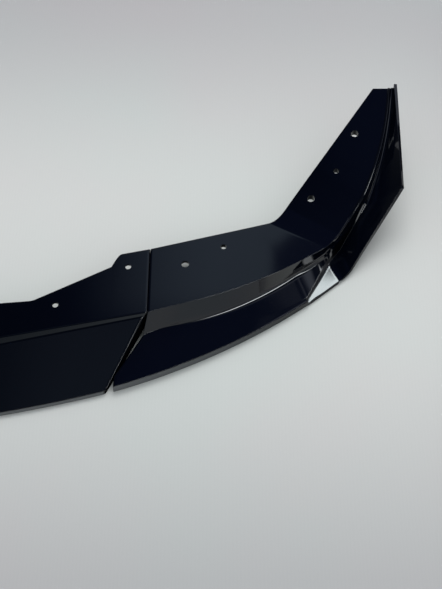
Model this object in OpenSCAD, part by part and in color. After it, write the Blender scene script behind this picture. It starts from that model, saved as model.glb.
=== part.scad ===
// Front splitter lip for a car: a centre section and two mirrored wings, moulded in gloss black.
// X runs across the car, Y runs from front to back, Z is up, and the ground is Z = 0.
// Each moulding is one thin sheet that is turned down along its edges and open underneath.

/* [Sheet] */
// Thickness of the moulded sheet
wall_t = 3; // [2:0.1:3.4]
// Thickness of the upturned end fins
fin_t = 4.4; // [3:0.1:5]
// Radius of the rounded edges
edge_r = 2.5; // [1:0.1:3]
// Depth of the edges that are turned down behind the flanges and at the ends
return_h = 16; // [14:0.5:20]
// Clearance between the end faces that meet at a seam
seam_gap = 0.3; // [0.2:0.1:1]

/* [Heights above the ground] */
// Mounting flanges
flange_h = 39; // [35:0.5:44]
// Front edge of the centre section
centre_rim_h = 8; // [7:0.5:12]
// Front edge of a wing where it meets the centre section
wing_rim_h = 13.5; // [12:0.5:15]
// Wing blade at the foot of its crest
blade_h = 14; // [13:0.5:16]
// Crest between the band and the blade of a wing
crest_h = 20; // [18.5:0.5:24]
// Low outer corner of a wing
corner_h = 5; // [4.5:0.1:6.5]
// Front end of the top edge of a fin
fin_front_h = 71; // [62:1:78]
// Rear end of the top edge of a fin
fin_rear_h = 100; // [97:1:115]
// Rear end of the flange of a wing
tip_h = 89.5; // [80:0.5:91]

/* [Centre section, in plan] */
// Width between its two ends
centre_w = 1017; // [970:1:1070]
// How far its front corners stand in from its ends
end_slant = 48.5; // [42:0.5:56]
// Radius of its front corners
corner_r = 7; // [5:0.5:9]
// Radius of the swept front edge
front_r = 1700; // [1500:10:2000]
// Distance from the foremost point back to the ridge
ridge_y = 85; // [75:1:95]
// Width of the curved middle run of the ridge
ridge_mid_w = 500; // [400:10:600]
// Slope of the straight outer runs of the ridge
ridge_a = 11.5; // [10:0.1:13]
// Width of the band in front of the ridge, at the middle
band_w = 13; // [8:0.5:16]
// Width of the band in front of the ridge, at the seams
band_end_w = 4.5; // [3.5:0.5:7]
// Distance from the foremost point back to the rear edge, at the middle
recess_y = 164; // [155:1:172]
// Radius of the rear edge of the recess
recess_r = 3700; // [3000:50:5000]
// Width of the tab at each end
tab_w = 51; // [46:0.5:58]
// Width of the ramp between a tab and the recess
ramp_w = 101.5; // [80:0.5:120]
// Step from a ramp of the recess up to a tab
tab_step = 21; // [12:1:26]

/* [Wings, in plan] */
// Depth of the flanges at the seams
flange_d = 102; // [92:1:112]
// Reach from the seam to the end of the lobe in the crest
lobe_w = 46; // [42:0.5:52]
// Reach from the seam to the outer end of the blade
blade_w = 215; // [205:1:222]
// Set-back of that outer end behind the seam end of the ridge
corner_d = 35.5; // [30:0.5:40]
// Clearance beside the front corners of the centre section
corner_gap = 6.4; // [6:0.1:10]
// How far the front edge stands ahead of those corners
wing_lead = 5; // [2:0.5:7]
// Reach from the seam to the bend of the rear edge
bend_w = 172; // [160:1:185]
// Reach from the seam to the fin
wing_w = 346; // [338:1:365]
// Reach of the wing tip behind the end of the ridge
wing_d = 352; // [340:1:370]
// Length of the top edge of the fin
fin_l = 167; // [155:1:175]
// Hollow of the inner face of the fin
fin_hollow = 4; // [0:0.5:6]
// Width of the bead along the outer edge of the flange
bead_w = 4.8; // [3.5:0.1:6.5]
// Height of that bead
bead_h = 2.5; // [1:0.1:3.5]

/* [Screw holes] */
// Diameter of the small holes
small_d = 8; // [6:0.1:9]
// Diameter of the large holes
large_d = 10.5; // [9:0.1:12]
// Distance of the ramp holes from the ends of the recess
ramp_hole_in = 31; // [20:1:45]
// Distance of the tab holes from the ends of the centre section
tab_hole_in = 28.5; // [22:0.5:32]
// Distance of both kinds from the rear edge
hole_inset = 24; // [21:0.5:26]
// Wall of the collars moulded under the wing holes
collar_t = 2; // [1.5:0.1:3]

/* [Hidden] */
$fn = 48;
gloss_black = "#101216";
seam_x = centre_w / 2 + seam_gap;
tab_slope = 0.22;   // how far the rear edge of a tab runs back for each unit across
rear_slope = 0.268; // the same for the rear edge of a wing
ridge_mid_r = ridge_mid_w / 2 / sin(ridge_a);
ridge_end_y = ridge_line(centre_w / 2);
overall_d = ridge_end_y + wing_d;

// Mixes, bowed runs and guides
function mix(a, b, w) = a + (b - a) * w;
function mid(a, b) = (a + b) / 2;
function unit(v) = v / norm(v);
function smooth(w) = let (c = max(0, min(1, w))) c * c * (3 - 2 * c);
function steps(a, b, n) = [for (i = [0 : n - 1]) mix(a, b, i / n)];
function bow(p, c, q, w) = mix(mix(p, c, w), mix(c, q, w), w);
// A guide lists its stops and, between each two stops, the point that bows the run between them
function guide(g, t) =
    let (i = max(0, min(floor(t), (len(g) - 3) / 2)))
    bow(g[2 * i], g[2 * i + 1], g[2 * i + 2], t - i);

// A sharp corner c between p and q, turned into three points of an arc
corner_cut = 1 - sqrt(0.5);
function rounded(p, c, q, r) =
    let (a = unit(p - c) * r, b = unit(q - c) * r)
    [c + a, c + (a + b) * corner_cut, c + b];
// The same at the end of a sheet, where p can lie in the corner itself
function rounded_end(p, c, q, r) =
    norm(p - c) < 0.01 ? [c, c, c + unit(q - c) * r] : rounded(p, c, q, min(r, norm(p - c) / 2));
function dropped(p, depth) = [p.x, p.y, max(0, p.z - depth)];

// The inner face of a sheet, found from a grid of its outer points. Patches past the trough of a
// wing take their depth from a list with one value for each row of the grid.
slack = 0.02;      // keeps points from sliding along flat places
trough_patch = 6;  // the column of patches before the trough
function sum_of(v, i = 0) = i < len(v) ? v[i] + sum_of(v, i + 1) : 0;
function patch(g, fin_walls, i, j) =
    let (n = cross(g[i][j + 1] - g[i + 1][j], g[i + 1][j + 1] - g[i][j]))
    norm(n) > 0.01 ? [[unit(n), j > trough_patch ? fin_walls[i] : wall_t]] : [];
function patches_at(g, fin_walls, i, j) = [
    for (a = [max(0, i - 1) : min(len(g) - 2, i)], b = [max(0, j - 1) : min(len(g[0]) - 2, j)])
        each patch(g, fin_walls, a, b)
];
// The move from a point that brings it to the right depth inside every patch that meets there
function inset(p) =
    let (
        s = [for (k = [0 : 2]) -sum_of([for (f = p) f[0][k] * f[1]])],
        a = [for (r = [0 : 2]) [for (c = [0 : 2])
            sum_of([for (f = p) f[0][r] * f[0][c]]) + (r == c ? slack : 0)]]
    )
    [s * cross(a[1], a[2]), a[0] * cross(s, a[2]), a[0] * cross(a[1], s)] / (a[0] * cross(a[1], a[2]));
// Edges that are turned down end in feet, in the first and last row and column of the grid. The
// inner face of such an edge is upright, and without a foot the inner face ends at the edge.
function inner_grid(base, fin_walls = []) =
    let (
        n = len(base),
        m = len(base[0]),
        core = [for (i = [1 : n - 2]) [for (j = [1 : m - 2])
            base[i][j] + inset(patches_at(base, fin_walls, i, j))]]
    )
    [for (i = [0 : n - 1]) [for (j = [0 : m - 1])
        let (
            near_i = max(1, min(n - 2, i)),
            near_j = max(1, min(m - 2, j)),
            c = core[near_i - 1][near_j - 1],
            turned = norm(base[i][j] - base[near_i][near_j]) > 0.01
        )
        turned ? [c.x, c.y, base[i][j].z] : c]];

// The closed solid between an outer and an inner grid of the same size
module sheet(outer, inner) {
    n = len(outer);
    m = len(outer[0]);
    points = [for (g = [outer, inner], row = g, p = row) p];
    function out(i, j) = i * m + j;
    function in(i, j) = (n + i) * m + j;
    function apart(a, b) = norm(points[a] - points[b]) > 0.0001;
    function quad(a, b, c, d) = [
        for (f = [[a, b, c], [a, c, d]])
            if (apart(f[0], f[1]) && apart(f[1], f[2]) && apart(f[2], f[0])) f
    ];
    skins = [for (i = [0 : n - 2], j = [0 : m - 2]) each concat(
        quad(out(i, j), out(i + 1, j), out(i + 1, j + 1), out(i, j + 1)),
        quad(in(i, j), in(i, j + 1), in(i + 1, j + 1), in(i + 1, j)))];
    sides = [for (i = [0 : n - 2]) each concat(
        quad(out(i, 0), in(i, 0), in(i + 1, 0), out(i + 1, 0)),
        quad(out(i, m - 1), out(i + 1, m - 1), in(i + 1, m - 1), in(i, m - 1)))];
    ends = [for (j = [0 : m - 2]) each concat(
        quad(out(0, j), out(0, j + 1), in(0, j + 1), in(0, j)),
        quad(out(n - 1, j), in(n - 1, j), in(n - 1, j + 1), out(n - 1, j + 1)))];
    polyhedron(points, concat(skins, sides, ends), convexity = 10);
}

// A moulding with rounded end edges. The base and inner grids have a row of feet before and after
// their rows, the skin has none, and base_of names the base point behind each point of a skin row.
module moulding(base, skin, inner, base_of) {
    n = len(base);
    s = len(skin);
    cols = [0 : len(base_of) - 1];
    function feet(end_row, edge) =
        [for (j = cols) [edge[j].x, edge[j].y, min(edge[j].z, end_row[base_of[j]].z)]];
    function cap(foot, edge, next) =
        let (r = [for (j = cols) rounded_end(foot[j], edge[j], next[j], edge_r)])
        [foot, for (k = [0 : 2]) [for (p = r) p[k]]];
    first = cap(feet(base[0], skin[0]), skin[0], skin[1]);
    last = cap(feet(base[n - 1], skin[s - 1]), skin[s - 1], skin[s - 2]);
    outer = concat(first, [for (i = [1 : s - 2]) skin[i]], [for (k = [3 : -1 : 0]) last[k]]);
    rows = concat([0, 1, 1, 1], [for (i = [2 : n - 3]) i], [n - 2, n - 2, n - 2, n - 1]);
    sheet(outer, [for (i = rows) [for (j = base_of) inner[i][j]]]);
}

// Plan of the centre section, for a distance x from the middle
function arc_rise(x, r) = r - sqrt(r * r - x * x);
front_x = centre_w / 2 - end_slant;
function front_y(x) =
    let (past = x - front_x + corner_r)
    arc_rise(x, front_r) + (past > 0 ? arc_rise(min(past, corner_r), corner_r) : 0);
function ridge_line(x) =
    ridge_y + arc_rise(min(x, ridge_mid_w / 2), ridge_mid_r) + max(0, x - ridge_mid_w / 2) * tan(ridge_a);
function band_run(x) = mix(band_w, band_end_w, x / (centre_w / 2));
tab_run = 13;  // width of the rounded step up to a tab
tab_x = centre_w / 2 - tab_w;
recess_x = tab_x - ramp_w;
function tab_line(x) = ridge_end_y + flange_d - (centre_w / 2 - x) * tab_slope;
function rear_y(x) =
    let (
        recess_end = recess_y + arc_rise(recess_x, recess_r),
        ramp_end = tab_line(tab_x + tab_run) - tab_step
    )
    x < recess_x ? recess_y + arc_rise(x, recess_r)
    : x < tab_x ? mix(recess_end, ramp_end, (x - recess_x) / (tab_x - recess_x))
    : x < tab_x + tab_run ? mix(ramp_end, tab_line(x), sin(90 * (x - tab_x) / tab_run))
    : tab_line(x);

// One row of the centre section, from the foot of the rear edge to the foot of the front rim;
// the share runs from -1 at one end to 1 at the other
function centre_row(share) =
    let (
        side = abs(share),
        x = centre_w / 2 * side,
        rear = [x, rear_y(x), flange_h],
        ridge = [x, ridge_line(x), flange_h],
        band_foot = [x - band_end_w * side, ridge_line(x) - band_run(x), flange_h - band_run(x)],
        front = [front_x * side, front_y(front_x * side), centre_rim_h],
        row = [dropped(rear, return_h), rear, ridge, band_foot, front, dropped(front, return_h)]
    )
    share < 0 ? [for (p = row) [-p.x, p.y, p.z]] : row;
end_drop = 26;  // depth of the end wall below the foot of the band
function centre_feet(row) =
    [row[0], row[0], dropped(row[2], return_h), dropped(row[3], end_drop), row[5], row[5]];
function centre_skin(row) = concat(
    [row[0]], rounded(row[0], row[1], row[2], edge_r), [row[2], row[3]],
    rounded(row[3], row[4], row[5], edge_r), [row[5]]);
centre_base_of = [0, 1, 1, 1, 2, 3, 4, 4, 4, 5];

module centre_sheet() {
    corner_x = (1 - corner_r / front_x) * centre_w / 2;
    bend = 8;  // half width of the closer rows about the corner of the recess
    half = [for (x = concat(
        steps(0, recess_x - bend, 7), steps(recess_x - bend, recess_x + bend, 3),
        steps(recess_x + bend, tab_x, 4), steps(tab_x, tab_x + tab_run, 6),
        steps(tab_x + tab_run, corner_x, 3), [corner_x, mid(corner_x, centre_w / 2), centre_w / 2]))
        x / (centre_w / 2)];
    last = len(half) - 1;
    rows = [for (i = [-last : last]) centre_row(sign(i) * half[abs(i)])];
    base = concat([centre_feet(rows[0])], rows, [centre_feet(rows[2 * last])]);
    moulding(base, [for (r = rows) centre_skin(r)], inner_grid(base), centre_base_of);
}

// Guides of the left wing. Its own frame starts at the seam end of the ridge. The stops are
// 0 the seam, 1 the end of the lobe beside it, 2 the outer front corner of the blade, 3 and 4 the
// start and end of the bend, 5 the front end of the fin's top edge and 6 the tip.
turn_v = wing_d - fin_l;
end_u = corner_gap - end_slant - seam_gap;
end_v = front_y(front_x) - ridge_end_y - wing_lead;
function on_rear(u) = [u, flange_d + rear_slope * u, flange_h];
bend_in = on_rear(bend_w - 11);
bend_out = [bend_w + 15, on_rear(bend_w).y + 21.4, flange_h + 3.5];
rear_turn = [wing_w - 116, turn_v + 46, flange_h + 18];
rear_edge = [
    on_rear(0), on_rear(lobe_w / 2), on_rear(lobe_w), on_rear((lobe_w + bend_w - 32) / 2),
    on_rear(bend_w - 32), on_rear(bend_w - 21), bend_in, on_rear(bend_w + 2) + [0, 0, 1], bend_out,
    mid(bend_out, rear_turn), rear_turn, [wing_w - 73, wing_d - 61, tip_h - 16.5],
    [wing_w - 30, wing_d, tip_h - 1.5]
];
crest_out = [blade_w + 43, corner_d + 86.5, flange_h + 3.5];
crest_turn = [wing_w - 50, turn_v - 8, flange_h + 18];
crest_mid = [wing_w - 12, turn_v + 76, tip_h - 16.5];
crest_tip = [wing_w - 4, wing_d - 1.5, tip_h];
crest = [
    [end_u * 0.168, end_v * 0.21, blade_h + 0.5], [lobe_w - 35, -9, blade_h + 1.5],
    [lobe_w - 7, -2.6, crest_h], [blade_w - 90, corner_d - 19.5, crest_h],
    [blade_w - 17, corner_d + 37, crest_h], [blade_w + 5, corner_d + 52.5, crest_h + 0.5],
    [blade_w + 25, corner_d + 69, crest_h + 5], [blade_w + 37, corner_d + 76.5, flange_h], crest_out,
    mid(crest_out, crest_turn), crest_turn, crest_mid, crest_tip
];
border_out = crest_out + [-2, 1.2, 0];
border_turn = crest_turn + [-bead_w, 2, 0];
border = [
    [0, 0, flange_h], [lobe_w / 2, 7, flange_h], [lobe_w, 13.6, flange_h],
    [blade_w - 94, corner_d - 1.5, flange_h], [blade_w - 25, corner_d + 38, flange_h],
    [blade_w - 3, corner_d + 50.5, flange_h], [blade_w + 23, corner_d + 67, flange_h + 0.5],
    [blade_w + 34, corner_d + 75, flange_h + 2], border_out, mid(border_out, border_turn), border_turn,
    crest_mid + [-bead_w, 0, 0], crest_tip + [-bead_w, 0, 0]
];
trough_in = [blade_w + 31, corner_d + 64.5, corner_h + 1];
trough_out = [blade_w + 47, corner_d + 84, corner_h + 6];
trough_turn = [wing_w - 47, turn_v - 9.5, flange_h + 4];
trough = [
    [blade_w - 1.5, corner_d + 3, corner_h + 0.3], [blade_w + 15, corner_d + 33.5, corner_h + 0.6],
    trough_in, [blade_w + 39, corner_d + 74.5, corner_h + 3.5], trough_out, mid(trough_out, trough_turn),
    trough_turn, [wing_w - 11.5, turn_v + 76, tip_h - 23.5], [wing_w - 3.5, wing_d - 1.6, tip_h - 1.5]
];
crest_foot = [
    [end_u * 0.2, end_v * 0.236, blade_h], [lobe_w - 36, -12, blade_h], [lobe_w - 5, -5.5, blade_h],
    [blade_w - 88, corner_d - 22.5, blade_h], [blade_w - 14, corner_d + 34.5, blade_h + 0.5],
    [blade_w + 8, corner_d + 49.5, blade_h + 1], mix(crest[6], trough_in, 0.35)
];
front_edge = [
    [end_u, end_v, wing_rim_h], [end_u + 42.4, end_v + 13.5, wing_rim_h - 0.5],
    [lobe_w - 8, end_v + 30.5, wing_rim_h - 0.5], [blade_w - 83, corner_d - 61.5, wing_rim_h - 1.5],
    [blade_w, corner_d, 2 * corner_h]
];
heel_out = [blade_w + 60, corner_d + 51, corner_h + 6];
fin_turn = [wing_w, turn_v - 1.5, fin_front_h];
fin_edge = [
    [blade_w + 0.5, corner_d - 0.5, corner_h], [blade_w + 22, corner_d + 17, corner_h],
    [blade_w + 43, corner_d + 34.5, corner_h], [blade_w + 52, corner_d + 41, corner_h + 0.5], heel_out,
    mid(heel_out, fin_turn), fin_turn, [wing_w, mid(turn_v, wing_d), mid(fin_front_h, fin_rear_h)],
    [wing_w - 0.5, wing_d - 2.5, fin_rear_h]
];
blade_end = [blade_w - 2.5, corner_d + 4.8, 2 * corner_h + 0.6];
fin_foot_w = 3;  // width of the trough between the crest and the fin
end_corner = [end_u + 0.2, end_v + 15, wing_rim_h];  // where the end of the blade turns to the front
corner_lead = 0.015;  // how far before stop 2 the step down to the low corner begins

// One row of the wing at a place t along the guides, from the foot of the rear edge to the foot of
// the front edge
blade_spread = [0.2, 0.4, 0.6, 0.8, 0.9];
blade_squeeze = [0.84, 0.86, 0.88, 0.9, 0.92];
function blade_row(t) =
    let (
        s = guide(crest_foot, t),
        g = guide(front_edge, t),
        turned = t < 1 ? mix(end_corner, mix(guide(crest_foot, 1), guide(front_edge, 1), 0.8), t)
            : mix(s, g, 0.8),
        w = smooth((t - 1) / (1 - corner_lead)),
        spread = [for (k = [0 : 4]) mix(blade_spread[k], blade_squeeze[k], w)],
        end = t < 1 ? turned : mix(s, g, spread[3]),
        last = mix(end, g, (spread[4] - spread[3]) / (1 - spread[3]))
    )
    [s, for (k = [0 : 2]) mix(s, end, spread[k] / spread[3]), end, last, g];
function outer_row(t) =
    let (
        c = guide(crest, t),
        e2 = guide(trough, t - 2),
        g = guide(fin_edge, t - 2),
        s = t < 3 ? guide(crest_foot, t) : mix(c, e2, 0.35),
        e1 = t < 3 ? mix(blade_end, mix(crest[6], trough_in, 0.7), t - 2)
            : mix(c, e2, 0.7),
        up = smooth(t - 4),
        t1 = mix(mix(e2, g, 0.25), e2 + [fin_foot_w, -0.3, 0], up),
        sag = fin_hollow * (t < 5 ? up : 6.2 - t)
    )
    [s, e1, e2, t1, mix(t1, g, 1 / 3) - [0, 0, sag], mix(t1, g, 2 / 3) - [0, 0, sag], g];
function wing_row(t) =
    let (
        r = guide(rear_edge, t),
        low = t < 2 ? blade_row(t) : outer_row(t),
        g = low[6]
    )
    concat([dropped(r, return_h), r, guide(border, t), guide(crest, t)], low, [t > 3 ? g : [g.x, g.y, 0]]);

// The same row with its rounded edges; past the bend, the crest turns into a bead and the front
// edge into the free edge of the fin
bead_shape = [[0.1, 0.7], [0.35, 1], [0.65, 1], [0.9, 0.7]];
function wing_skin(row, inner, t) =
    let (
        k = row[2],
        c = row[3],
        step = concat([mid(k, c)], rounded(k, c, row[4], min(edge_r, norm(k - c) * 0.45))),
        bead = [for (b = bead_shape) mix(k, c, b[0]) + [0, 0, b[1] * bead_h]],
        w = smooth((t - 4.4) / 0.6),
        g = row[10],
        rim_r = min(edge_r, g.z / 2, norm(row[9] - g) * 0.8),
        free = t > 3
    )
    concat(
        [row[0]], rounded(row[0], row[1], k, edge_r), [k],
        [for (i = [0 : 3]) mix(step[i], bead[i], w)],
        [for (i = [4 : 9]) row[i]],
        rounded(row[9], g, free ? inner[10] : row[11], free ? edge_r / 2 : rim_r),
        [free ? mix(g, inner[10], 0.75) : row[11]]);
wing_base_of = [0, 1, 1, 1, 2, 2, 3, 3, 3, 4, 5, 6, 7, 8, 9, 10, 10, 10, 11];

module wing_sheet() {
    stops = concat(
        [0], steps(0.22, 1, 7), steps(1, 2 - corner_lead, 10), [2 - corner_lead], steps(2, 3, 5),
        steps(3, 4, 9), steps(4, 5, 8), steps(5, 6, 12), [6]);
    rows = [for (t = stops) wing_row(t)];
    n = len(rows);
    seam = [for (k = [0 : 11]) k > 0 && k < 11 ? dropped(rows[0][k], return_h) : rows[0][k]];
    base = concat([seam], rows, [rows[n - 1]]);  // the tip end is cut off plainly
    fin_walls = [for (t = concat([0], stops)) mix(wall_t, fin_t, smooth(t - 3))];
    raw = inner_grid(base, fin_walls);
    // Where outer columns run closer together than the sheet is thick, the inner ones are spread out
    // between their neighbours: under the low corner, under the crest and under the bead
    inner = [for (i = [0 : n + 1])
        let (t = stops[max(0, min(i, n) - 1)], r = raw[i])
        [for (k = [0 : 11])
            t > 3.8 && k == 2 ? mix(r[3], r[1], 0.04)
            : t >= 3 && (k == 4 || k == 5) ? mix(r[3], r[6], (k - 3) * 0.35)
            : t > 1.9 && t < 3 && k > 6 && k < 10 ? mix(r[6], r[10], (k - 6) * 0.25)
            : r[k]]];
    skin = [for (i = [0 : n - 1]) wing_skin(rows[i], inner[i + 1], stops[i])];
    moulding(base, skin, inner, wing_base_of);
}

// Screw holes, each bored straight down through its flange
module screw_hole(p, d) translate([p.x, p.y, p.z - return_h]) cylinder(d = d, h = 2 * return_h);
// Place along the guides, share of the way from the rear edge to the border, diameter, and depth of
// the bore through flange and collar
wing_holes = [
    [1.016, 0.383, large_d, 4.5], [1.5, 0.25, small_d, 6.5], [4.4, 0.27, large_d, 8.5],
    [5.07, 0.37, small_d, 8.5], [5.48, 0.32, large_d, 8.5]
];
function wing_hole(h) = mix(guide(rear_edge, h[0]), guide(border, h[0]), h[1]);
// A collar starts inside the sheet and hangs below it
module collar(p, d, depth)
    translate([p.x, p.y, p.z - depth]) cylinder(d = d + 2 * collar_t, h = depth - 0.6 * wall_t);

module centre_section() color(gloss_black) translate([0, -overall_d / 2, 0]) difference() {
    centre_sheet();
    for (side = [-1, 1], x = [recess_x + ramp_hole_in, centre_w / 2 - tab_hole_in])
        screw_hole([side * x, rear_y(x) - hole_inset, flange_h], small_d);
}

module left_wing() color(gloss_black) translate([seam_x, ridge_end_y - overall_d / 2, 0]) difference() {
    union() {
        wing_sheet();
        for (h = wing_holes) collar(wing_hole(h), h[2], h[3]);
    }
    for (h = wing_holes) screw_hole(wing_hole(h), h[2]);
}

module right_wing() mirror([1, 0, 0]) left_wing();

centre_section();
left_wing();
right_wing();
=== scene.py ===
import math

import bpy
import numpy as np
from mathutils import Matrix, Vector


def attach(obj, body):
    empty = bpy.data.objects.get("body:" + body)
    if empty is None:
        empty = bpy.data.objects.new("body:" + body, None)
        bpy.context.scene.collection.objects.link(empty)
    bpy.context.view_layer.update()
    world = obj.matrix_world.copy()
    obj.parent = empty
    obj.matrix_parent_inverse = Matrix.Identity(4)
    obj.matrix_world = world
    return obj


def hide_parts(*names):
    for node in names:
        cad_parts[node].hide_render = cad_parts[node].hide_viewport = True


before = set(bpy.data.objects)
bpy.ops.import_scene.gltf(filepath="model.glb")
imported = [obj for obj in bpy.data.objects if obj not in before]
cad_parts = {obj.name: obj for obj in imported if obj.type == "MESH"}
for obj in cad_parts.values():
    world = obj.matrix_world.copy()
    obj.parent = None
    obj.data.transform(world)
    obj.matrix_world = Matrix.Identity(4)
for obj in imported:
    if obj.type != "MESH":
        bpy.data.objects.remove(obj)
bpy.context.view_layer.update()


# shader helpers

# A socket that can be used in sums
class Link:
    def __init__(self, tree, socket):
        self.tree = tree
        self.socket = socket

    def math(self, operation, *others):
        return self.tree.add("ShaderNodeMath", {"operation": operation}, [self, *others])

    def __add__(self, other):
        return self.math("ADD", other)

    def __mul__(self, other):
        return self.math("MULTIPLY", other)

    def __sub__(self, other):
        return self.math("SUBTRACT", other)

    def __rsub__(self, other):
        return self.tree.add("ShaderNodeMath", {"operation": "SUBTRACT"}, [other, self])

    def __truediv__(self, other):
        return self.math("DIVIDE", other)

    def __pow__(self, other):
        return self.math("POWER", other)


class Tree:
    def __init__(self, nodeTree):
        self.nodes = nodeTree.nodes
        self.links = nodeTree.links
        self.nodes.clear()

    # A node of any kind: its settings first, then the values or links of its sockets
    def add(self, kind, settings=None, inputs=None, output=0):
        node = self.nodes.new(kind)
        for name, value in (settings or {}).items():
            if name == "stops":
                ramp = node.color_ramp
                while len(ramp.elements) < len(value):
                    ramp.elements.new(1)
                for element, (place, colour) in zip(ramp.elements, value):
                    element.position = place
                    element.color = (*colour, 1)
            else:
                setattr(node, name, value)
        pairs = inputs.items() if isinstance(inputs, dict) else enumerate(inputs or [])
        for key, value in pairs:
            if isinstance(value, Link):
                self.links.new(value.socket, node.inputs[key])
            else:
                node.inputs[key].default_value = value
        return Link(self, node.outputs[output]) if node.outputs else node

    # 0 below the first place and 1 above the second, with a soft change between them
    def rise(self, value, first, second):
        return self.add("ShaderNodeMapRange", {"interpolation_type": "SMOOTHSTEP"}, {
            "Value": value, "From Min": first, "From Max": second})

    # 1 between the inner two of four places, 0 outside the outer two
    def window(self, value, places):
        return self.rise(value, places[0], places[1]) * (1 - self.rise(value, places[2], places[3]))

    # The three parts of a vector
    def split(self, vector):
        outputs = self.add("ShaderNodeSeparateXYZ", None, [vector]).socket.node.outputs
        return [Link(self, output) for output in outputs]

    def noise(self, place, scale, detail):
        return self.add("ShaderNodeTexNoise", None, {"Vector": place, "Scale": scale, "Detail": detail})

    def bump(self, height, distance, strength=1.0, below=None):
        inputs = {"Strength": strength, "Distance": distance, "Height": height}
        if below:
            inputs["Normal"] = below
        return self.add("ShaderNodeBump", None, inputs)

    def scaled(self, colour, factor):
        return self.add("ShaderNodeVectorMath", {"operation": "SCALE"}, {0: colour, "Scale": factor})

    def summed(self, first, second):
        return self.add("ShaderNodeVectorMath", {"operation": "ADD"}, [first, second])

    def blended(self, factor, first, second):
        inputs = {0: factor, 6: (*first, 1), 7: (*second, 1)}
        return self.add("ShaderNodeMix", {"data_type": "RGBA"}, inputs, output=2)


# The linear colour that shaders use, from levels of 0 to 255
def srgb(*levels):
    return tuple(((level / 255 + 0.055) / 1.055) ** 2.4 for level in levels)


def newTree(name):
    material = bpy.data.materials.new(name)
    material.use_nodes = True
    return material, Tree(material.node_tree)


# the moulded sheets

glossBlack = {
    "base": (0.0006, 0.0012, 0.0034),
    "roughness": 0.04,
    "ior": 1.5,
    "coat": 0.35,
    "coatRoughness": 0.03,
    "wave": (2.2, 1.0),                  # slow waves of the moulded surface: scale and detail
    "waveDepth": 0.0004,
    "peel": (420.0, 2.0),                # the fine skin of moulded gloss plastic
    "peelDepth": 0.000004,
    "haze": (55.0, 4.0),                 # fine scuffs that dull the shine a little
    "hazeRoughness": 0.03,
    "rimPaintedSheen": (0.096, 0.103, 0.108),  # painted sheen: the turned-down front edges get a paler colour that stands in for the pale floor they reflect; they are also matt
    "rimRoughness": 0.4,
    "rimHigh": (0.0124, 0.0138),         # up to this height
    "paintedSheenAhead": (0.80, 0.97),            # how far a face looks ahead to get the painted sheen
    "rimMatt": (0.25, 0.50),             # and to be matt
}

# Painted shade: end walls low down that look across the lip, in the gap between the parts, are drawn dull
# near-black with no shine, standing in for the shade of that gap
paintedGapShade = {
    "base": (0.001, 0.0012, 0.0016),
    "sideways": (0.55, 0.75),
    "upright": (0.15, 0.35),
    "high": (0.026, 0.034),
}


def makeGlossBlack(look, wall):
    material, tree = newTree("glossBlack")
    place = tree.add("ShaderNodeTexCoord", output=3)
    high = tree.split(place)[2]
    aside, ahead, upward = tree.split(tree.add("ShaderNodeNewGeometry", output=1))
    aside, ahead, upward = aside.math("ABSOLUTE"), ahead * -1, upward.math("ABSOLUTE")
    low = 1 - tree.rise(high, *look["rimHigh"])
    # painted sheen: low faces that look ahead get the paler colour in place of the floor they reflect
    paintedSheen = tree.rise(ahead, *look["paintedSheenAhead"]) * low
    matt = tree.rise(ahead, *look["rimMatt"]) * low
    wave, peel, haze = (tree.noise(place, *look[name]) for name in ("wave", "peel", "haze"))
    skin = tree.bump(peel, look["peelDepth"], below=tree.bump(wave, look["waveDepth"]))
    surface = tree.add("ShaderNodeBsdfPrincipled", None, {
        "Base Color": tree.blended(paintedSheen, look["base"], look["rimPaintedSheen"]),
        "Roughness": haze * look["hazeRoughness"] + look["roughness"] + matt * look["rimRoughness"],
        "IOR": look["ior"],
        "Coat Weight": (1 - matt) * look["coat"],
        "Coat Roughness": look["coatRoughness"],
        "Normal": skin,
    })
    # painted shade: a dull near-black in place of the gloss on the end walls in the gap between the parts
    dull = tree.add("ShaderNodeBsdfDiffuse", None, {"Color": (*wall["base"], 1)})
    # painted shade mask: low end walls that look sideways
    gapShadeMask = (tree.rise(aside, *wall["sideways"]) * (1 - tree.rise(upward, *wall["upright"]))
              * (1 - tree.rise(high, *wall["high"])))
    both = tree.add("ShaderNodeMixShader", None, {0: gapShadeMask, 1: surface, 2: dull})
    tree.add("ShaderNodeOutputMaterial", None, {"Surface": both})
    return material


# curves and rows of the moulded sheets, in millimetres

whole = {
    "flangeHigh": 39, "wall": 3, "finWall": 4.4, "returnDeep": 16, "seamGap": 0.3,
    "edgeRound": 2.5, "rimRound": 1.3, "ridgeRound": 1.6, "bandRound": 2.2,
    "centreWide": 1017, "frontWide": 920, "cornerRound": 7, "frontRound": 1700, "frontHigh": 8,
    "ridgeBack": 85, "ridgeCurved": 500, "ridgeSlope": math.radians(11.5), "bandWide": 13, "bandEnd": 4.5,
    "recessBack": 164, "recessRound": 3700, "recessWide": 712, "tabWide": 915, "tabRun": 13, "tabStep": 21,
    "recessBend": 8, "tabSlope": 0.22, "wingSlope": 0.268, "flangeDeep": 102, "endDrop": 26, "wingDeep": 352,
    # the centre's screw holes: how far from the middle, how far in from the rear edge, how wide
    "holesAt": (387, 480), "holesIn": 24, "screwHole": 8,
    "collarWall": 2, "collarInto": 0.6,  # how far into the sheet a collar begins, as a share of its wall
}


def point(*values):
    return np.array(values, float)


def mix(a, b, share):
    return a + (b - a) * share


def unit(v):
    return v / np.linalg.norm(v)


# A soft rise from 0 to 1 that starts at a place along a guide and runs on for a length of it
def ease(t, start, length):
    share = min(1, max(0, (t - start) / length))
    return share * share * (3 - 2 * share)


# The place t on a row of bowed stretches: stops, with the point that bows each stretch between them
def guide(stops, t):
    i = int(max(0, min(math.floor(t), (len(stops) - 3) // 2)))
    a, middle, b = (point(*stops[2 * i + k]) for k in range(3))
    return mix(mix(a, middle, t - i), mix(middle, b, t - i), t - i)


bow, shortBow = 5, 3    # how many points a rounding has
tiny = 0.01             # points nearer than this are one
mostOfEdge = 0.48       # a rounding takes no more of an edge than this share


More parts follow.
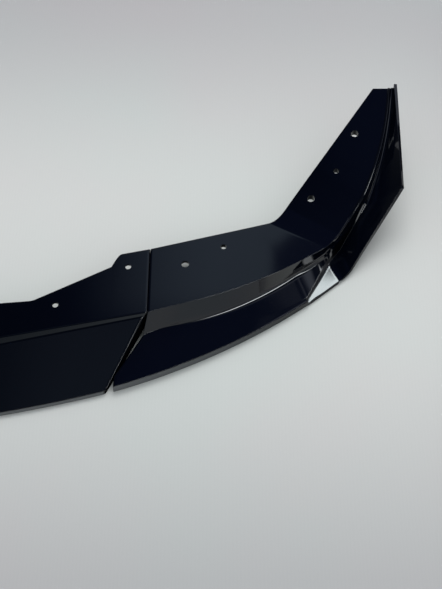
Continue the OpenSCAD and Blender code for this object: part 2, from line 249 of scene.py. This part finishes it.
# The corner c between p and q as the points of a bow
def rounded(p, c, q, radius, count=bow):
    def reach(to):
        gap = np.linalg.norm(to - c)
        return c if gap < tiny else c + (to - c) / gap * min(radius, gap * mostOfEdge)
    start, end = reach(p), reach(q)
    shares = [k / (count - 1) for k in range(count)]
    return [mix(mix(start, c, share), mix(c, end, share), share) for share in shares]


def dropped(p, depth):
    return point(p[0], p[1], max(0, p[2] - depth))


# The smallest move that brings a point to each depth inside the faces that meet there. A little
# stiffness keeps it small where the faces are nearly parallel
def insetMove(normals, depths, stiffness=0.02):
    n = np.array(normals)
    return np.linalg.solve(n.T @ n + stiffness * np.eye(3), -n.T @ np.array(depths))


# The inner side of a sheet from its rows of corners. Past the fin's foot it has the fin's wall
def innerGrid(base, finWalls, wall, finFootAt=6):
    rows, columns = len(base), len(base[0])
    core = {}
    for i in range(1, rows - 1):
        for j in range(1, columns - 1):
            normals, depths = [], []
            for a in (i - 1, i):
                for b in (j - 1, j):
                    n = np.cross(base[a][b + 1] - base[a + 1][b], base[a + 1][b + 1] - base[a][b])
                    if np.linalg.norm(n) > tiny:
                        normals.append(unit(n))
                        depths.append(finWalls[a] if b > finFootAt else wall)
            core[i, j] = base[i][j] + insetMove(normals, depths)
    inner = []
    for i in range(rows):
        inner.append([])
        for j in range(columns):
            ni, nj = min(rows - 2, max(1, i)), min(columns - 2, max(1, j))
            c = core[ni, nj]
            turned = np.linalg.norm(base[i][j] - base[ni][nj]) > tiny
            inner[i].append(point(c[0], c[1], base[i][j][2]) if turned else c)
    return inner


def arcRise(x, radius):
    return radius - math.sqrt(radius * radius - x * x)


def ridgeLine(x, w=whole):
    half = w["ridgeCurved"] / 2
    return (w["ridgeBack"] + arcRise(min(x, half), half / math.sin(w["ridgeSlope"]))
            + max(0, x - half) * math.tan(w["ridgeSlope"]))


ridgeEnd = ridgeLine(whole["centreWide"] / 2)
seamAt = whole["centreWide"] / 2 + whole["seamGap"]
backToMiddle = (ridgeEnd + whole["wingDeep"]) / 2


def frontLine(x, w=whole):
    past = min(w["cornerRound"], max(0, x - w["frontWide"] / 2 + w["cornerRound"]))
    return arcRise(x, w["frontRound"]) + arcRise(past, w["cornerRound"])


def tabLine(x, w=whole):
    return ridgeEnd + w["flangeDeep"] - (w["centreWide"] / 2 - x) * w["tabSlope"]


def rearLine(x, w=whole):
    recess, tab = w["recessWide"] / 2, w["tabWide"] / 2
    rampEnd = tabLine(tab + w["tabRun"]) - w["tabStep"]
    if x < recess:
        return w["recessBack"] + arcRise(x, w["recessRound"])
    if x < tab:
        rampStart = w["recessBack"] + arcRise(recess, w["recessRound"])
        return mix(rampStart, rampEnd, (x - recess) / (tab - recess))
    if x < tab + w["tabRun"]:
        return mix(rampEnd, tabLine(x), math.sin(math.pi / 2 * (x - tab) / w["tabRun"]))
    return tabLine(x)


def centreRow(share, w=whole):
    side = abs(share)
    x = w["centreWide"] / 2 * side
    band = mix(w["bandWide"], w["bandEnd"], side)
    frontX = w["frontWide"] / 2 * side
    rear = point(x, rearLine(x), w["flangeHigh"])
    front = point(frontX, frontLine(frontX), w["frontHigh"])
    row = [dropped(rear, w["returnDeep"]), rear, point(x, ridgeLine(x), w["flangeHigh"]),
           point(x - w["bandEnd"] * side, ridgeLine(x) - band, w["flangeHigh"] - band),
           front, dropped(front, w["returnDeep"])]
    return [p * (-1, 1, 1) for p in row] if share < 0 else row


def centreSkin(row, w=whole):
    bends = [rounded(*row[k:k + 3], w[name])
             for k, name in enumerate(("edgeRound", "ridgeRound", "bandRound", "rimRound"))]
    return [row[0], *sum(bends, []), row[5]]


# Which corner of a row each point of its skin belongs to
centreBaseOf = [0] + [1] * bow + [2] * bow + [3] * bow + [4] * bow + [5]


# guides of the left wing from the seam end of the ridge: stop 0 the seam, 1 the end of the lobe,
# 2 the blade's outer front corner, 3 and 4 the bend, 5 the front end of the fin's top edge, 6 the tip

def onRear(u):
    return (u, whole["flangeDeep"] + whole["wingSlope"] * u, whole["flangeHigh"])


wing = {
    "rear": [*map(onRear, (0, 23, 46, 93, 140, 151, 161, 174)), (187, 169.5, 42.5), (208, 200, 49.5),
             (230, 231, 57), (273, 291, 73), (316, 352, 88)],
    "crest": [(-7.1, -20.5, 14.5), (11, -9, 15.5), (39, -2.6, 20), (125, 16, 20), (198, 72.5, 20),
              (220, 88, 20.5), (240, 104.5, 25), (252, 112, 39), (258, 122, 42.5), (277, 149.5, 49.5),
              (296, 177, 57), (334, 261, 73), (342, 350.5, 89.5)],
    "border": [(0, 0, 39), (23, 7, 39), (46, 13.6, 39), (121, 34, 39), (190, 73.5, 39), (212, 86, 39),
               (238, 102.5, 39.5), (249, 110.5, 41), (256, 123.2, 42.5), (273.5, 151, 49.5),
               (291.2, 179, 57), (329.2, 261, 73), (337.2, 350.5, 89.5)],
    "crestFoot": [(-7.3, -21, 13.8), (10.7, -9.9, 14.3), (40.6, -5.0, 15), (126.8, 13.8, 16.5),
                  (200.5, 70.5, 16.5), (223, 85, 16), (242.1, 102.93, 18.35)],
    "front": [(-42.4, -97.3, 13.5), (0, -83.8, 13), (38, -66.8, 13), (132, -26, 12), (215, 35.5, 10)],
    "finEdge": [(215.5, 35, 5), (237, 52.5, 5), (258, 70, 5), (267, 76.5, 5.5), (275, 86.5, 11),
                (310.5, 135.75, 41), (346, 183.5, 71), (346, 268.5, 85.5), (345.5, 349.5, 99.92)],
    "trough": [(213.5, 38.5, 5.3), (230, 69, 5.6), (246, 100, 6), (254, 110, 8.5), (262, 119.5, 11),
               (281, 147.5, 27), (299, 175.5, 43), (334.5, 261, 66), (342.4, 350.4, 91.4)],
    "endCorner": (-42.2, -82.3, 13.5), "bladeEnd": (212.5, 40.3, 10.6), "finFoot": (3, -0.3, 0),
    "finFootShare": 0.25, "hollow": 4, "hollowEnds": 6.2, "beadHigh": 2.5, "beadSteps": 7,
    # where the rows of the blade lie between the crest's foot and the front, and where they end up
    "spread": (0.2, 0.4, 0.6, 0.8, 0.9), "squeeze": (0.84, 0.86, 0.88, 0.9, 0.92),
    "fold": (0.35, 0.7),                 # and in the fin, between the crest and the trough
    # places along the guides: where a change starts and how long it is, or where one form takes over
    "squeezed": (1, 0.985), "finRises": (4, 1), "finThickens": (3, 1), "beadGrows": (4.4, 0.6),
    "crestSoftens": (0.4, 0.6), "footSoftens": (0.8, 0.8), "footSharpens": (2, 0.5),
    "foldSharpens": 3.3, "beadUnder": 3.8, "bladeEnds": 1.9,
    # roundings, and shares of the way across the inner side
    "sharpRound": 0.4, "footRound": 2.6, "footLoss": 0.8, "foldRound": (0.9, 0.1), "troughRound": 0.7,
    "finFootRound": 1.6, "underShare": 0.04, "edgeShare": 0.75,
    # the rows along the guides
    "stops": [0] + [0.22 + 0.78 * k / 7 for k in range(7)] + [1 + 0.985 * k / 10 for k in range(10)]
             + [1.985] + [2 + k / 5 for k in range(5)] + [3 + k / 9 for k in range(9)]
             + [4 + k / 8 for k in range(8)] + [5 + k / 12 for k in range(12)] + [6],
    # the holes: place along the guides, share of the way in from the rear edge, width, depth
    "holes": [(1.016, 0.383, 10.5, 4.5), (1.5, 0.25, 8, 6.5), (4.4, 0.27, 10.5, 8.5), (5.07, 0.37, 8, 8.5),
              (5.48, 0.32, 10.5, 8.5)],
}


# The part of a row from the crest's foot to the front edge
def lowHalf(t, w=wing):
    if t < 2:
        s, g = guide(w["crestFoot"], t), guide(w["front"], t)
        share = ease(t, *w["squeezed"])
        a = [mix(x, y, share) for x, y in zip(w["spread"], w["squeeze"])]
        end = mix(s, g, a[3])
        if t < 1:
            lobeEnd = mix(guide(w["crestFoot"], 1), guide(w["front"], 1), w["spread"][3])
            end = mix(point(*w["endCorner"]), lobeEnd, t)
        last = mix(end, g, (a[4] - a[3]) / (1 - a[3]))
        return [s] + [mix(s, end, a[k] / a[3]) for k in range(3)] + [end, last, g]
    c, low, g = guide(w["crest"], t), guide(w["trough"], t - 2), guide(w["finEdge"], t - 2)
    if t < 3:
        s = guide(w["crestFoot"], t)
        foldStart = mix(guide(w["crest"], 3), guide(w["trough"], 1), w["fold"][1])
        top = mix(point(*w["bladeEnd"]), foldStart, t - 2)
    else:
        s, top = (mix(c, low, share) for share in w["fold"])
    up = ease(t, *w["finRises"])
    foot = mix(mix(low, g, w["finFootShare"]), low + point(*w["finFoot"]), up)
    sag = point(0, 0, w["hollow"] * (up if t < 5 else w["hollowEnds"] - t))
    return [s, top, low, foot, mix(foot, g, 1 / 3) - sag, mix(foot, g, 2 / 3) - sag, g]


# Twelve corners from the foot of the rear return over the flange, crest and blade to the front
def wingRow(t, w=wing):
    r = guide(w["rear"], t)
    low = lowHalf(t)
    g = low[6]
    return [dropped(r, whole["returnDeep"]), r, guide(w["border"], t), guide(w["crest"], t), *low,
            g if t > 3 else point(g[0], g[1], 0)]


def wingSkin(row, inner, t, w=wing):
    radius, sharp, k, c, g = whole["edgeRound"], w["sharpRound"], row[2], row[3], row[10]
    crestRound = mix(sharp, radius, ease(t, *w["crestSoftens"]))
    footRound = mix(sharp, w["footRound"],
                    ease(t, *w["footSoftens"]) - w["footLoss"] * ease(t, *w["footSharpens"]))
    foldRound = w["foldRound"][0 if t < w["foldSharpens"] else 1]
    step = rounded(row[1], k, c, sharp, shortBow) + rounded(k, c, row[4], crestRound)
    n = w["beadSteps"]
    bead = [mix(k, c, i / n) + point(0, 0, w["beadHigh"] * math.sin(math.pi * i / n)) for i in range(n + 1)]
    share = ease(t, *w["beadGrows"])
    if t > 3:
        edge, last = rounded(row[9], g, inner[10], sharp), mix(g, inner[10], w["edgeShare"])
    else:
        edge, last = rounded(row[9], g, row[11], min(whole["rimRound"], g[2] / 2)), row[11]
    bends = [rounded(*row[i:i + 3], size, shortBow)
             for i, size in enumerate((footRound, foldRound, w["troughRound"], w["finFootRound"]), 3)]
    return [row[0], *rounded(row[0], row[1], k, radius), *[mix(a, b, share) for a, b in zip(step, bead)],
            *sum(bends, []), row[8], row[9], *edge, last]


wingBaseOf = ([0] + [1] * bow + [2] * shortBow + [3] * bow
              + [corner for corner in (4, 5, 6, 7) for k in range(shortBow)] + [8, 9] + [10] * bow + [11])


def wingInner(base, stops, w=wing):
    walls = [mix(whole["wall"], whole["finWall"], ease(t, *w["finThickens"])) for t in [0] + stops]
    inner = innerGrid(base, walls, whole["wall"])
    for i, r in enumerate(inner):
        t = stops[max(0, min(i, len(stops)) - 1)]
        if t > w["beadUnder"]:
            r[2] = mix(r[3], r[1], w["underShare"])
        if t >= 3:
            r[4], r[5] = (mix(r[3], r[6], share) for share in w["fold"])
        elif t > w["bladeEnds"]:
            for k in (7, 8, 9):
                r[k] = mix(r[6], r[10], (k - 6) / 4)
    return inner


# from rows to a closed sheet

# Rows at in-between places, straight between the known ones
def between(rows, places, fine):
    out = []
    for t in fine:
        i = max(0, min(len(places) - 2, sum(p <= t for p in places) - 1))
        share = (t - places[i]) / (places[i + 1] - places[i])
        out.append([mix(a, b, share) for a, b in zip(rows[i], rows[i + 1])])
    return out


# Each stretch cut into a count of smaller ones, apart from the shortest
def finer(places, count, least=0.02):
    out = []
    for a, b in zip(places, places[1:]):
        n = count if b - a > least else 1
        out += [mix(a, b, k / n) for k in range(n)]
    return out + [places[-1]]


# The foot of a turned-down end, then its rounded edge
def endCap(feet, edge, beside, radius):
    columns = [rounded(f, e, b, radius) for f, e, b in zip(feet, edge, beside)]
    return [feet] + [[c[k] for c in columns] for k in range(bow)]


# A sheet from its base rows, with feet before and after them, and its inner rows
def closedSheet(name, base, inner, places, skinOf, baseOf, offset, split=3):
    fine = finer(places, split)
    innerFine = between(inner[1:-1], places, fine)
    skin = [skinOf(t, r) for t, r in zip(fine, innerFine)]

    def feet(endRow, edge):
        return [point(e[0], e[1], min(e[2], endRow[b][2])) for e, b in zip(edge, baseOf)]
    first = endCap(feet(base[0], skin[0]), skin[0], skin[1], whole["edgeRound"])
    last = endCap(feet(base[-1], skin[-1]), skin[-1], skin[-2], whole["edgeRound"])
    outer = first + skin[1:-1] + last[::-1]
    under = [inner[0]] + [innerFine[0]] * bow + innerFine[1:-1] + [innerFine[-1]] * bow + [inner[-1]]
    under = [[r[b] for b in baseOf] for r in under]
    rows, columns = len(outer), len(baseOf)
    points = [p for grid in (outer, under) for row in grid for p in row]
    shift = rows * columns
    faces = []

    def wallFace(a, b, turned):
        face = (a, b, b + shift, a + shift)
        faces.append(face[::-1] if turned else face)
    for i in range(rows - 1):
        for j in range(columns - 1):
            a, b = i * columns + j, (i + 1) * columns + j
            c, d = b + 1, a + 1
            faces += [(d, c, b, a), (a + shift, b + shift, c + shift, d + shift)]
    for i in range(rows - 1):
        for j, turned in ((0, False), (columns - 1, True)):
            wallFace(i * columns + j, (i + 1) * columns + j, turned)
    for j in range(columns - 1):
        for i, turned in ((0, True), (rows - 1, False)):
            wallFace(i * columns + j, i * columns + j + 1, turned)
    mesh = bpy.data.meshes.new(name)
    mesh.from_pydata([tuple((p + offset) / 1000) for p in points], [], faces)
    piece = bpy.data.objects.new(name, mesh)
    bpy.context.collection.objects.link(piece)
    return piece


def pick(piece):
    bpy.ops.object.select_all(action="DESELECT")
    piece.select_set(True)
    bpy.context.view_layer.objects.active = piece


# An upright cylinder from one height to another joins the sheet or is cut out of it
def combined(piece, operation, x, y, low, top, radius, sides=48):
    bpy.ops.mesh.primitive_cylinder_add(vertices=sides, radius=radius / 1000, depth=(top - low) / 1000,
                                        location=(x / 1000, y / 1000, (low + top) / 2000))
    tool = bpy.context.object
    pick(piece)
    work = piece.modifiers.new("screwHole", "BOOLEAN")
    work.object, work.operation, work.solver = tool, operation, "EXACT"
    bpy.ops.object.modifier_apply(modifier=work.name)
    bpy.data.objects.remove(tool)


# Each hole has its place, its width and how deep its bore goes, through the collar under the sheet
def bored(piece, holes, w=whole):
    for x, y, z, across, deep in holes:
        if deep > w["wall"]:
            top = z - w["collarInto"] * w["wall"]
            combined(piece, "UNION", x, y, z - deep, top, across / 2 + w["collarWall"])
    for x, y, z, across, deep in holes:
        combined(piece, "DIFFERENCE", x, y, z - w["returnDeep"], z + w["returnDeep"], across / 2)


sheetFinish = {"merge": 0.00001, "sliver": 0.000005, "softBelow": math.radians(38)}


def finishSheet(piece, node, holes):
    pick(piece)
    bpy.ops.object.mode_set(mode="EDIT")
    bpy.ops.mesh.select_all(action="SELECT")
    bpy.ops.mesh.remove_doubles(threshold=sheetFinish["merge"])
    bpy.ops.mesh.dissolve_degenerate(threshold=sheetFinish["sliver"])
    bpy.ops.object.mode_set(mode="OBJECT")
    bored(piece, holes)
    bpy.ops.object.shade_smooth_by_angle(angle=sheetFinish["softBelow"])
    even = piece.modifiers.new("evenShading", "WEIGHTED_NORMAL")
    even.keep_sharp = True
    bpy.ops.object.modifier_apply(modifier=even.name)
    piece.data.materials.append(blackGloss)
    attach(piece, "root")
    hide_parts(node)


# The rows of the centre section are closer where its rear edge bends
def makeCentre(w=whole):
    half = w["centreWide"] / 2
    recess, tab, bend = w["recessWide"] / 2, w["tabWide"] / 2, w["recessBend"]
    corner = (1 - w["cornerRound"] / (w["frontWide"] / 2)) * half

    def run(a, b, n):
        return [mix(a, b, k / n) for k in range(n)]
    xs = (run(0, recess - bend, 7) + run(recess - bend, recess + bend, 3) + run(recess + bend, tab, 4)
          + run(tab, tab + w["tabRun"], 6) + run(tab + w["tabRun"], corner, 3)
          + [corner, (corner + half) / 2, half])
    shares = [x / half for x in xs]
    places = [-s for s in shares[:0:-1]] + shares
    rows = [centreRow(s) for s in places]

    def feetOf(r):
        return [r[0], r[0], dropped(r[2], w["returnDeep"]), dropped(r[3], w["endDrop"]), r[5], r[5]]
    base = [feetOf(rows[0])] + rows + [feetOf(rows[-1])]
    inner = innerGrid(base, [w["wall"]] * len(base), w["wall"])
    piece = closedSheet("centreSheet", base, inner, places, lambda t, r: centreSkin(centreRow(t)),
                        centreBaseOf, point(0, -backToMiddle, 0))
    holes = [(side * x, rearLine(x) - w["holesIn"] - backToMiddle, w["flangeHigh"], w["screwHole"],
              w["wall"]) for side in (-1, 1) for x in w["holesAt"]]
    finishSheet(piece, "centre_section", holes)


def makeWing(side):
    rows = [wingRow(t) for t in wing["stops"]]
    seam = [dropped(p, whole["returnDeep"]) if 0 < k < 11 else p for k, p in enumerate(rows[0])]
    base = [seam] + rows + [rows[-1]]
    inner = wingInner(base, wing["stops"])
    corner = point(seamAt, ridgeEnd - backToMiddle, 0)
    piece = closedSheet("leftWingSheet" if side > 0 else "rightWingSheet", base, inner, wing["stops"],
                        lambda t, r: wingSkin(wingRow(t), r, t), wingBaseOf, corner)
    holes = []
    for t, share, across, deep in wing["holes"]:
        p = mix(guide(wing["rear"], t), guide(wing["border"], t), share) + corner
        holes.append((p[0] * side, p[1], p[2], across, deep))
    if side < 0:
        mesh = piece.data
        mesh.transform(Matrix.Scale(-1, 4, (1, 0, 0)))
        mesh.flip_normals()
    finishSheet(piece, "left_wing" if side > 0 else "right_wing", holes)


blackGloss = makeGlossBlack(glossBlack, paintedGapShade)
makeCentre()
print("centre section made")
for side in (1, -1):
    makeWing(side)
print("wings made")


# the floor

floorLook = {
    "size": 14.0,
    "pale": srgb(207, 210, 208),       # painted pool of light: paler along the lip, where most light falls
    "dim": srgb(173, 173, 175),        # painted falloff of that light, far from there
    # half the length of the painted pool of light, how fast it ends there, where its middle line is, and
    # from where to where the painted light fades to dim
    "half": 0.826, "endFall": 1.5, "line": -0.008, "near": 0.072, "far": 0.616,
    "roughness": 0.85, "shine": 0.2, "under": -0.0005,
    "patches": (2.4, 3.0), "stain": 0.012, "stainFrom": 0.35, "stainTo": 0.65,  # faint tints
    "ribScale": 70.0, "ribWander": 0.4, "ribDetail": 1.0, "rib": 0.012,         # the cloth's fine ribs
    "grain": (900.0, 2.0), "grainDepth": 0.0002, "grainStrength": 0.3,
}


def makeFloor(look):
    material, tree = newTree("paleFloor")
    place = tree.add("ShaderNodeTexCoord", output=3)
    across, along = tree.split(place)[:2]
    past = (across.math("ABSOLUTE") - look["half"]).math("MAXIMUM", 0.0) * look["endFall"]
    beside = along - look["line"]
    away = (past * past + beside * beside) ** 0.5
    paintedLightPool = tree.blended(tree.rise(away, look["near"], look["far"]), look["pale"], look["dim"])
    s = look["stain"]
    stops = [(look["stainFrom"], (1 + s, 1 - s, 1 - s / 2)), (look["stainTo"], (1 - s, 1 + s, 1 + s / 2))]
    tint = tree.add("ShaderNodeValToRGB", {"stops": stops}, [tree.noise(place, *look["patches"])])
    ribs = tree.add("ShaderNodeTexWave", {"bands_direction": "X"}, {
        "Vector": place, "Scale": look["ribScale"], "Distortion": look["ribWander"],
        "Detail": look["ribDetail"]})
    tinted = tree.add("ShaderNodeVectorMath", {"operation": "MULTIPLY"}, [paintedLightPool, tint])
    surface = tree.add("ShaderNodeBsdfPrincipled", None, {
        "Base Color": tree.scaled(tinted, ribs * look["rib"] + (1 - look["rib"] / 2)),
        "Roughness": look["roughness"],
        "Normal": tree.bump(tree.noise(place, *look["grain"]), look["grainDepth"], look["grainStrength"]),
        "Specular IOR Level": look["shine"],
    })
    tree.add("ShaderNodeOutputMaterial", None, {"Surface": surface})
    bpy.ops.mesh.primitive_plane_add(size=look["size"], location=(0, 0, look["under"]))
    floor = bpy.context.object
    floor.name = "paleFloor"
    floor.data.materials.append(material)


makeFloor(floorLook)
print("floor laid")


# light

room = {
    "soft": 0.70,                     # even light on everything
    "softColour": srgb(250, 252, 255),
    # what the gloss shows, from low behind the lip, over the top, to low in front of it
    "arc": [
        (0.00, srgb(150, 154, 158)), (0.15, srgb(120, 124, 130)), (0.25, srgb(84, 90, 104)),
        (0.30, srgb(58, 64, 92)), (0.345, srgb(40, 46, 76)), (0.41, srgb(42, 50, 78)),
        (0.46, srgb(62, 68, 84)), (0.50, srgb(76, 83, 96)), (0.535, srgb(82, 92, 106)),
        (0.59, srgb(34, 39, 50)), (0.79, srgb(36, 40, 48)), (0.84, srgb(96, 104, 110)),
        (0.89, srgb(172, 182, 188)), (0.93, srgb(178, 184, 190)), (1.00, srgb(186, 190, 194)),
    ],
    # darker stretches: to the left of the middle, far left, and low on the right
    "shades": [
        {"across": (-0.55, -0.32, -0.20, -0.03), "turn": (-1.2, -1.1, 1.1, 1.2), "depth": 0.86},
        {"across": (-1.2, -1.1, -0.55, -0.40), "turn": (-0.4, -0.3, 0.50, 0.60), "depth": 0.85},
        {"across": (0.34, 0.44, 1.1, 1.2), "turn": (-0.7, -0.6, 0.29, 0.36), "depth": 0.85},
    ],
}

# soft boxes that only the gloss shows: where they are across the room and along the arc, both as
# the four places of a window, and how bright they are
softBoxes = {
    "ceiling": {"across": (-0.15, 0.00, 0.044, 0.056), "turn": (0.19, 0.24, 0.314, 0.334),
                "level": (0.245, 0.31, 0.355)},
    "roofLight": {"across": (0.112, 0.120, 0.165, 0.175), "turn": (0.3215, 0.3290, 0.346, 0.352),
                  "level": (10.5, 11.6, 11.8)},
    "crestLight": {"across": (0.20, 0.34, 0.74, 0.80), "turn": (0.640, 0.655, 0.700, 0.715),
                   "level": (10.5, 11.0, 11.3)},
    "rightPanel": {"across": (0.74, 0.78, 0.90, 0.95), "turn": (0.415, 0.430, 0.500, 0.520),
                   "level": (6.6, 6.9, 7.1)},
    "beadPanel": {"across": (0.15, 0.25, 0.92, 0.98), "turn": (0.250, 0.280, 0.380, 0.395),
                  "level": (0.52, 0.56, 0.64)},
    "beadSpot": {"across": (0.00, 0.04, 0.45, 0.55), "turn": (0.395, 0.410, 0.445, 0.460),
                 "level": (0.48, 0.52, 0.60)},
    "rearStrip": {"across": (-0.46, -0.40, -0.27, -0.15), "turn": (-0.01, 0.01, 0.055, 0.070),
                  "level": (0.85, 0.9, 0.95)},
}


def makeRoom(look, boxes):
    world = bpy.data.worlds.new("room")
    bpy.context.scene.world = world
    world.use_nodes = True
    tree = Tree(world.node_tree)
    place = tree.add("ShaderNodeTexCoord", output=0)
    across, along, up = tree.split(place)
    turn = up.math("ARCTAN2", along) / math.pi
    shown = tree.add("ShaderNodeValToRGB", {"stops": look["arc"]}, [turn])
    for shade in look["shades"]:
        part = tree.window(across, shade["across"]) * tree.window(turn, shade["turn"])
        shown = tree.scaled(shown, 1 - part * shade["depth"])
    for box in boxes.values():
        part = tree.window(across, box["across"]) * tree.window(turn, box["turn"])
        shown = tree.summed(shown, tree.scaled(box["level"], part))
    glossy = tree.add("ShaderNodeLightPath", output=3)
    seen = tree.add("ShaderNodeBackground", None, {"Color": shown, "Strength": 1.0})
    lit = tree.add("ShaderNodeBackground", None, {
        "Color": (*look["softColour"], 1), "Strength": look["soft"]})
    both = tree.add("ShaderNodeMixShader", None, {0: glossy, 1: lit, 2: seen})
    tree.add("ShaderNodeOutputWorld", None, {"Surface": both})


makeRoom(room, softBoxes)

lamps = {
    "rearSoft": {"at": (1.1, 1.5, 2.7), "aim": (0.65, 0.0, 0), "size": (2.2, 1.6), "power": 46,
                 "colour": (1.0, 1.0, 0.985)},
}


def makeLamp(name, look):
    bpy.ops.object.light_add(type="AREA", location=look["at"])
    lamp = bpy.context.object
    lamp.name = name
    lamp.data.shape = "RECTANGLE"
    lamp.data.size, lamp.data.size_y = look["size"]
    lamp.data.energy = look["power"]
    lamp.data.color = look["colour"]
    lamp.visible_glossy = False  # the gloss shows the soft boxes instead
    lamp.rotation_euler = (Vector(look["aim"]) - Vector(look["at"])).to_track_quat("-Z", "Y").to_euler()


for name, look in lamps.items():
    makeLamp(name, look)
print("lamps set")


# camera

eye = {"at": (0.605, -0.824, 1.204), "down": 57.0, "lens": 64.17, "clip": (0.05, 40)}
bpy.ops.object.camera_add(location=eye["at"], rotation=(math.radians(90 - eye["down"]), 0, 0))
camera = bpy.context.object
camera.data.lens = eye["lens"]
camera.data.clip_start, camera.data.clip_end = eye["clip"]
scene = bpy.context.scene
scene.camera = camera
scene.view_settings.view_transform = "Standard"

print("ready")
